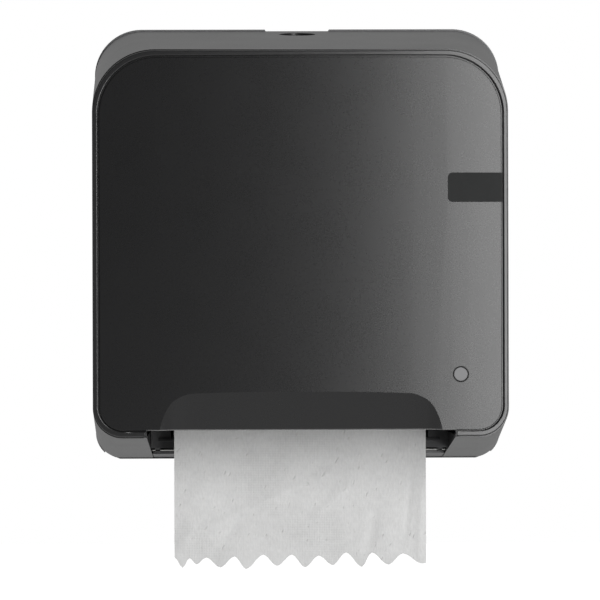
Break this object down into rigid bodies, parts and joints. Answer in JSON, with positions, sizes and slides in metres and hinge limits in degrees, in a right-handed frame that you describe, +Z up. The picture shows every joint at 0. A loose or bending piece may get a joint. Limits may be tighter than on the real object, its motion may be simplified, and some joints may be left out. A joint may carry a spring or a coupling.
{
  "type": "autocut paper towel dispenser",
  "caption": "Wall-mounted pull-to-cut paper towel dispenser: tapered cover with crowned front panel and finger scoop, drum with knife, towel roll and hanging paper.",
  "frame": {"origin": "centre of the four wall holes, on the wall face of the back plate", "axes": "+X to the right as seen from the front, +Y into the wall, +Z up"},
  "size_m": [0.338, 0.22, 0.4417],
  "materials": {
    "cover_plastic": "fine matte grain, satin edges",
    "panel_plastic": "fine matte grain",
    "badge_dark": "smooth, bare",
    "ring_dark": "smooth",
    "lens_frosted": "frosted, translucent on the real object",
    "back_plastic": "matte",
    "frame_plastic": "matte",
    "drum_plastic": "satin moulded",
    "hub_plastic": "satin moulded",
    "knob_plastic": "satin moulded",
    "steel": "zinc plated",
    "spring_steel": "drawn wire",
    "blade_steel": "ground",
    "lock_metal": "turned",
    "carrier_metal": "extruded",
    "rubber_black": "matte",
    "paper": "embossed tissue",
    "core_card": "wound card"
  },
  "bodies": {
    "frame": {"back_plate": "back_plastic", "lock_keeper": "steel", "cheek_left": "frame_plastic", "cheek_right": "frame_plastic", "drum_bush_left": "hub_plastic", "drum_bush_right": "hub_plastic", "knife_guide_left": "frame_plastic", "knife_guide_right": "frame_plastic", "web_guide_rod": "steel", "mouth_rod": "steel", "paper_chute": "frame_plastic", "cross_tie": "steel", "pinch_pivot_shaft": "steel", "frame_screws": "steel", "hinge_pin_left": "steel", "hinge_pin_right": "steel", "roll_arm_left": "back_plastic", "arm_bracket": "steel", "arm_pivot_pin": "steel", "spring_bracket": "frame_plastic", "main_spring": "spring_steel", "pawl_pin": "steel", "towel_web": "paper", "towel_tail": "paper"},
    "cover": {"cover_shell": "cover_plastic", "front_panel": "panel_plastic", "panel_clips": "steel", "badge_plate": "badge_dark", "window_bezel": "ring_dark", "window_lens": "lens_frosted", "lock_housing": "frame_plastic"},
    "lock": {"lock_barrel": "lock_metal", "lock_cam": "steel", "lock_screw": "steel"},
    "drum": {"drum_shell_rear": "drum_plastic", "drum_shell_front": "drum_plastic", "drum_grips": "rubber_black", "drum_end_left": "drum_plastic", "drum_end_right": "drum_plastic", "drum_axle_left": "steel", "drum_axle_right": "steel", "drum_screws": "steel", "crank_disc": "knob_plastic", "crank_pin": "steel", "ratchet_wheel": "knob_plastic", "feed_knob": "knob_plastic"},
    "knife": {"knife_carrier": "carrier_metal", "knife_blade": "blade_steel", "knife_followers": "hub_plastic"},
    "pinch_lever": {"pinch_arm": "frame_plastic"},
    "pinch_roller": {"pinch_roller_shaft": "steel", "pinch_sleeves": "rubber_black"},
    "roll": {"towel_roll": "paper", "roll_core": "core_card", "roll_hub_left": "hub_plastic"},
    "right_arm": {"roll_arm_right": "back_plastic"},
    "right_hub": {"roll_hub_right": "hub_plastic"},
    "pawl_lever": {"pawl": "knob_plastic"}
  },
  "joints": [
    {"name": "cover_hinge", "type": "hinge", "parent": "frame", "child": "cover", "pos_m": [0, -0.02, -0.168], "axis": [1, 0, 0], "range_deg": [0, 95]},
    {"name": "lock_turn", "type": "hinge", "parent": "cover", "child": "lock", "pos_m": [0, -0.048, 0.17294], "axis": [0, -0.1395, 0.9902], "range_deg": [0, 90]},
    {"name": "drum_spin", "type": "hinge", "parent": "frame", "child": "drum", "pos_m": [0, -0.095, -0.1], "axis": [1, 0, 0], "continuous": true, "deforming": ["main_spring"]},
    {"name": "knife_slide", "type": "slide", "parent": "drum", "child": "knife", "axis": [0, 0.342, 0.9397], "range_m": [-0.015, 0]},
    {"name": "pinch_swing", "type": "hinge", "parent": "frame", "child": "pinch_lever", "pos_m": [0, -0.045, -0.04], "axis": [-1, 0, 0], "range_deg": [0, 6]},
    {"name": "pinch_roller_spin", "type": "hinge", "parent": "pinch_lever", "child": "pinch_roller", "pos_m": [0, -0.08528, -0.04485], "axis": [1, 0, 0], "continuous": true},
    {"name": "roll_spin", "type": "hinge", "parent": "frame", "child": "roll", "pos_m": [0, -0.106, 0.058], "axis": [1, 0, 0], "continuous": true},
    {"name": "right_arm_swing", "type": "hinge", "parent": "frame", "child": "right_arm", "pos_m": [0.108, -0.013, 0.058], "axis": [0, 0, 1], "range_deg": [0, 12]},
    {"name": "right_hub_spin", "type": "hinge", "parent": "right_arm", "child": "right_hub", "pos_m": [0, -0.106, 0.058], "axis": [1, 0, 0], "continuous": true},
    {"name": "pawl_swing", "type": "hinge", "parent": "frame", "child": "pawl_lever", "pos_m": [0, -0.064, -0.076], "axis": [-1, 0, 0], "range_deg": [0, 15]}
  ],
  "couplings": [
    {"joint": "pinch_roller_spin", "follows": "drum_spin", "ratio": -3.6333},
    {"joint": "roll_spin", "follows": "drum_spin", "ratio": -0.54009},
    {"joint": "right_hub_spin", "follows": "drum_spin", "ratio": -0.54009}
  ]
}
